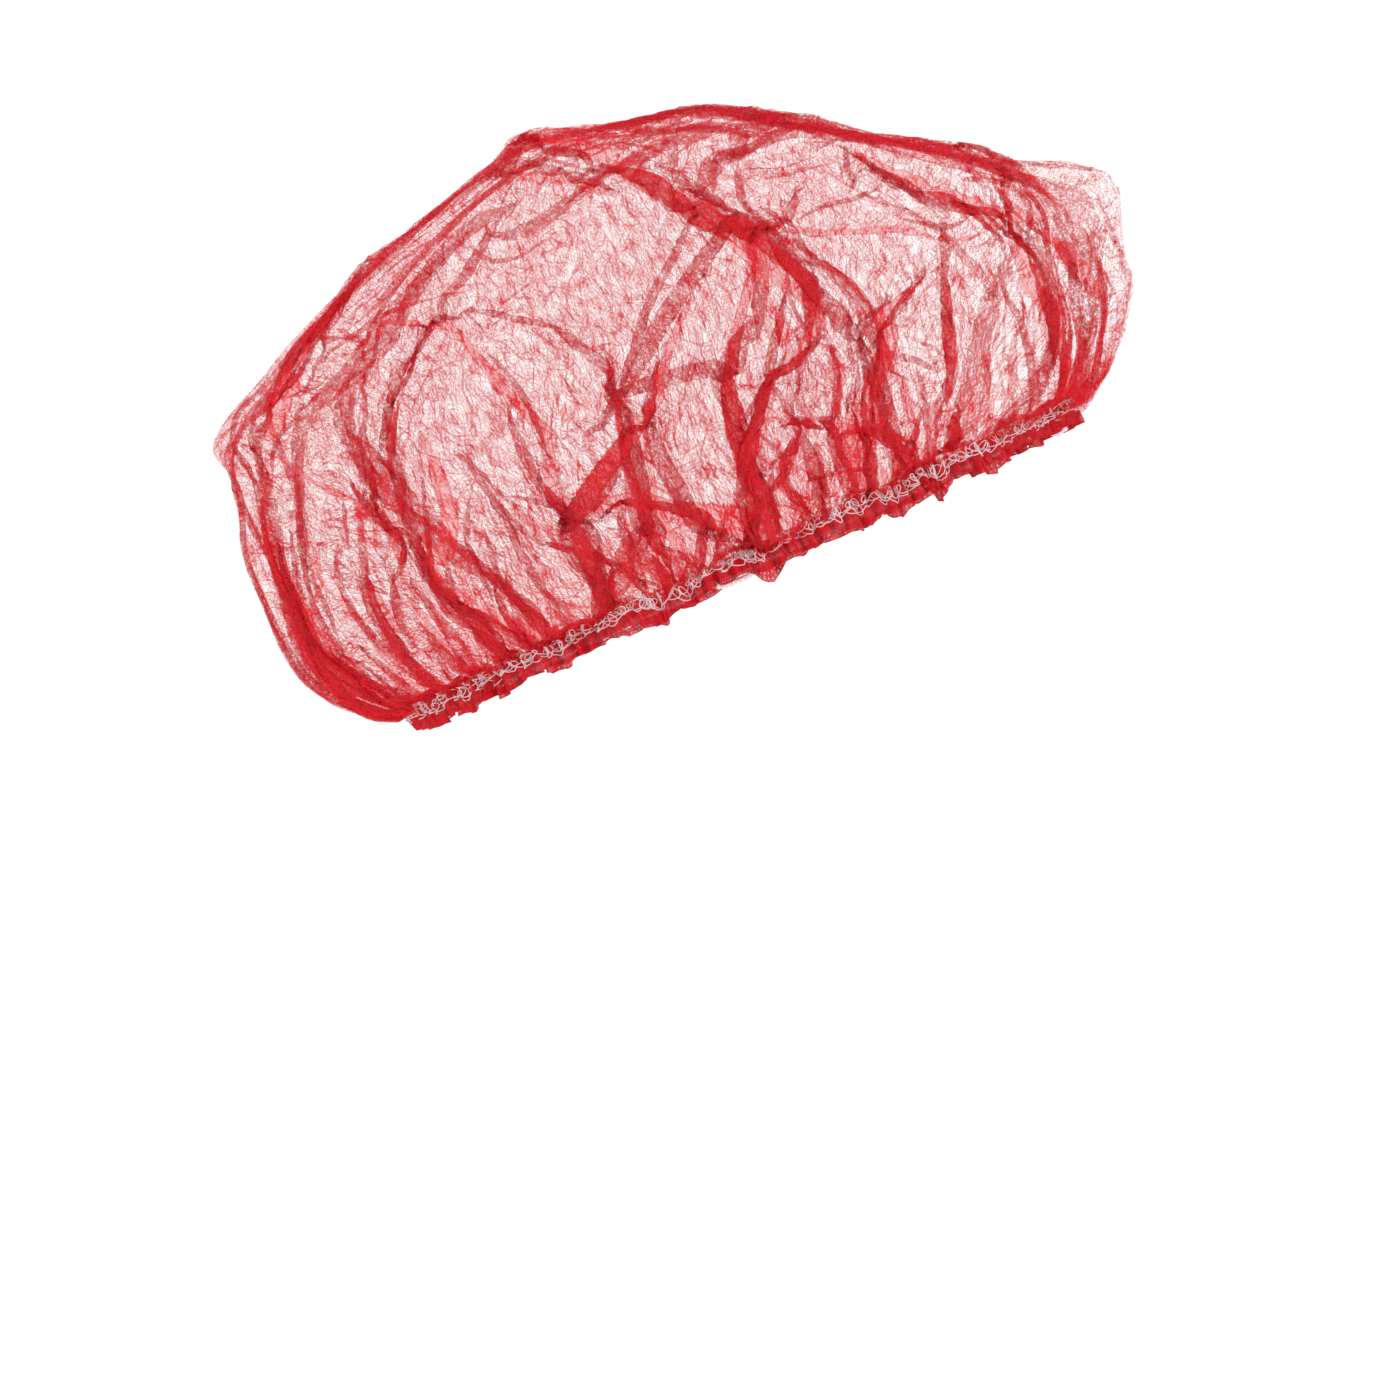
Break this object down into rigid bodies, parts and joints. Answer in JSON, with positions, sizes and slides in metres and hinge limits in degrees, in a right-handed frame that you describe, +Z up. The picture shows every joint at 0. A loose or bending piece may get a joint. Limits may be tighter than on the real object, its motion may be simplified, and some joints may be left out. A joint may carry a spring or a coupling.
{
  "type": "bouffant cap",
  "caption": "Disposable bouffant cap of sheer red nonwoven: a puffed, creased crown gathered into a ruffled hem with an elastic edge, open below for the head.",
  "frame": {"origin": "middle of the head opening, in the plane of the hem's lower edge", "axes": "+X towards the wearer's face, +Y to the wearer's left, +Z up with the cap as it is worn"},
  "size_m": [0.2428, 0.1865, 0.1682],
  "materials": {
    "red_nonwoven": "sheer spunbond nonwoven with small bond points",
    "red_hem": "tightly gathered nonwoven, overlocked",
    "white_elastic": "textured polyester and rubber"
  },
  "bodies": {
    "root": {"crown_shell": "red_nonwoven", "gathered_hem": "red_hem", "elastic_cord": "white_elastic"}
  },
  "joints": []
}
